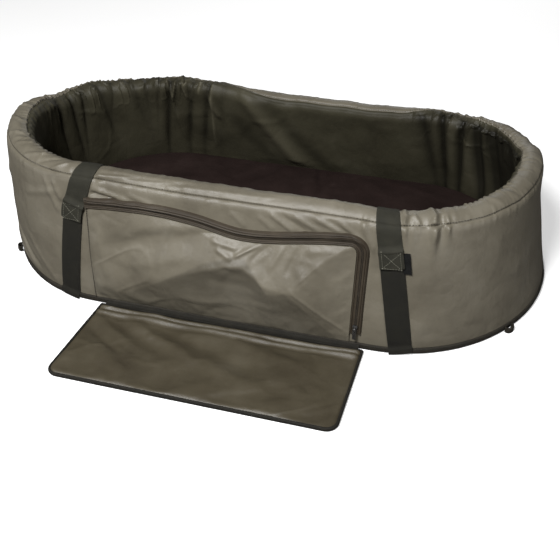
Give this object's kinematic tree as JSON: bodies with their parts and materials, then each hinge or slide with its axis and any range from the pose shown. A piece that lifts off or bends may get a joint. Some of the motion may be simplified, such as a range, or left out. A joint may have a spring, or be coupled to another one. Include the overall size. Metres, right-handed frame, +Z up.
{
  "type": "unhooking mat",
  "caption": "Oval padded fish cradle with upright foam walls, brown padded floor, front bellows pocket, webbing straps with a carry handle, and a fold-out kneeling mat.",
  "frame": {"origin": "middle of the oval base, on its underside", "axes": "+X along the mat to the right as seen from the pocket side, -Y towards the pocket and the kneeling mat, +Z up"},
  "size_m": [1.098, 0.854, 0.269],
  "materials": {
    "coated_nylon": "coated nylon with a satin sheen, taupe olive",
    "lining_nylon": "dark olive coated lining",
    "floor_mesh": "dark brown quick-drying floor cloth",
    "foam": "closed-cell grey foam",
    "webbing": "dark green-grey woven webbing",
    "binding": "near-black woven edge binding",
    "kneel_nylon": "satin olive-brown coated nylon",
    "groundsheet": "coated groundsheet",
    "zip_coil": "nylon coil",
    "slider_metal": "dark gunmetal",
    "label": "plain black folded tape"
  },
  "bodies": {
    "root": {"groundsheet": "groundsheet", "floor_foam_left": "foam", "floor_foam_right": "foam", "floor_cover": "floor_mesh", "base_side_band": "coated_nylon", "base_binding": "binding", "left_end_foam": "foam", "left_end_outer_cover": "coated_nylon", "left_end_lining": "lining_nylon", "left_end_rim_band": "coated_nylon", "right_end_foam": "foam", "right_end_outer_cover": "coated_nylon", "right_end_lining": "lining_nylon", "right_end_rim_band": "coated_nylon", "front_strap_foot_left": "webbing", "front_strap_foot_right": "webbing", "peg_loop_front_left": "webbing", "peg_loop_front_right": "webbing", "peg_loop_back_left": "webbing", "peg_loop_back_right": "webbing", "kneel_hinge_strip": "kneel_nylon"},
    "front_wall": {"front_foam": "foam", "front_outer_cover": "coated_nylon", "front_lining": "lining_nylon", "front_rim_band": "coated_nylon", "pocket_bag": "coated_nylon", "pocket_gusset": "coated_nylon", "storm_flap": "coated_nylon", "zip_chain": "zip_coil", "front_strap_left": "webbing", "front_strap_right": "webbing", "label_tab": "label"},
    "back_wall": {"back_foam": "foam", "back_outer_cover": "coated_nylon", "back_lining": "lining_nylon", "back_rim_band": "coated_nylon"},
    "carry_handle": {"carry_handle": "webbing"},
    "zip_slider": {"zip_slider": "slider_metal"},
    "zip_puller": {"zip_puller": "slider_metal"},
    "kneeling_mat": {"kneel_base_cover": "kneel_nylon", "kneel_foam": "foam", "kneel_top_cover": "kneel_nylon", "kneel_binding": "binding"}
  },
  "joints": [
    {"name": "front_wall_fold", "type": "hinge", "parent": "root", "child": "front_wall", "pos_m": [0, -0.262, 0.0496], "axis": [-1, 0, 0], "range_deg": [0, 82]},
    {"name": "back_wall_fold", "type": "hinge", "parent": "root", "child": "back_wall", "pos_m": [0, 0.262, 0.0496], "axis": [1, 0, 0], "range_deg": [0, 67.3]},
    {"name": "kneeling_mat_fold", "type": "hinge", "parent": "root", "child": "kneeling_mat", "pos_m": [0.004, -0.326, 0.0101], "axis": [-1, 0, 0], "range_deg": [0, 78]},
    {"name": "handle_swing", "type": "hinge", "parent": "front_wall", "child": "carry_handle", "pos_m": [0, -0.27447, 0.24], "axis": [1, 0, 0], "range_deg": [0, 175]},
    {"name": "zip_slide", "type": "slide", "parent": "front_wall", "child": "zip_slider", "axis": [0.0382, 0, 0.9993], "range_m": [0, 0.135]},
    {"name": "puller_swing", "type": "hinge", "parent": "zip_slider", "child": "zip_puller", "pos_m": [0.23846, -0.3233, 0.04799], "axis": [-0.9993, 0, 0.0382], "range_deg": [0, 150]}
  ],
  "couplings": [
    {"joint": "back_wall_fold", "follows": "front_wall_fold", "ratio": 0.82}
  ]
}
